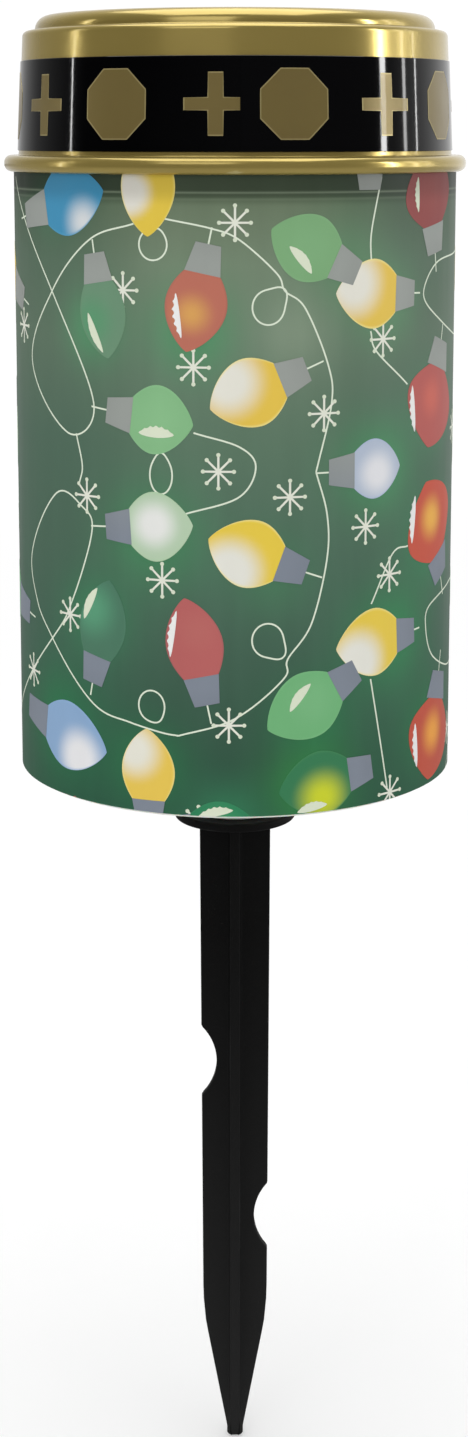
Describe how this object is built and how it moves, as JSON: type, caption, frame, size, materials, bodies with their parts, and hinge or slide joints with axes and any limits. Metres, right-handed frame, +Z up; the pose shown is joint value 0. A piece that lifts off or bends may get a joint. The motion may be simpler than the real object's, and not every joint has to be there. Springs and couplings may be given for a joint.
{
  "type": "solar stake lantern",
  "caption": "Solar lantern on a ground stake: a printed translucent cup, a lift-off gold lid with a solar panel, battery and lamp, and a cross-bladed stake.",
  "frame": {"origin": "tip of the ground stake, on the lantern's axis", "axes": "+Z up along the lantern's axis, -Y towards the front of the printed sleeve, +X to the right"},
  "size_m": [0.0834, 0.0834, 0.2757],
  "materials": {
    "stake_plastic": "fine moulded grain",
    "cup_plastic": "translucent, frosted",
    "printed_film": "glossy printed film",
    "gold_plastic": "gold metallic lacquer",
    "black_film": "glossy black foil",
    "silicone": "soft",
    "black_plastic": "moulded",
    "fibreglass": "solder mask",
    "silicon": "dark blue cells",
    "clear_resin": "clear epoxy",
    "white_plastic": "moulded",
    "steel": "nickel plated",
    "lamp_epoxy": "clear lamp body",
    "clear_lens": "clear moulded",
    "choke_lacquer": "lacquered",
    "battery_can": "plated",
    "battery_wrap": "shrink film",
    "red_insulation": "soft insulation",
    "black_insulation": "soft insulation"
  },
  "bodies": {
    "stake": {"ground_stake": "stake_plastic"},
    "lantern": {"lantern_cup": "cup_plastic", "printed_sleeve": "printed_film"},
    "lid": {"lid_shell": "gold_plastic", "lid_band": "black_film", "lid_gasket": "silicone", "panel_bezel": "black_plastic", "panel_board": "fibreglass", "solar_cells": "silicon", "panel_resin": "clear_resin", "inner_cover": "white_plastic", "cover_screws": "steel", "board_screws": "steel", "circuit_board": "fibreglass", "led_lamp": "lamp_epoxy", "led_lens": "clear_lens", "switch_body": "black_plastic", "driver_chip": "black_plastic", "choke_coil": "choke_lacquer", "battery_cell": "battery_can", "battery_jacket": "battery_wrap", "plus_contact": "steel", "minus_contact": "steel", "battery_spring": "steel", "panel_wire_red": "red_insulation", "panel_wire_black": "black_insulation", "battery_wire_red": "red_insulation", "battery_wire_black": "black_insulation"},
    "switch": {"switch_slider": "white_plastic"},
    "battery_cover": {"battery_door": "white_plastic"}
  },
  "joints": [
    {"name": "lantern_lift", "type": "slide", "parent": "stake", "child": "lantern", "axis": [0, 0, 1], "range_m": [0, 0.018]},
    {"name": "lid_lift", "type": "slide", "parent": "lantern", "child": "lid", "axis": [0, 0, 1], "range_m": [0, 0.045]},
    {"name": "switch_slide", "type": "slide", "parent": "lid", "child": "switch", "axis": [-1, 0, 0], "range_m": [0, 0.002]},
    {"name": "battery_door_drop", "type": "slide", "parent": "lid", "child": "battery_cover", "axis": [0, 0, -1], "range_m": [0, 0.014]}
  ]
}
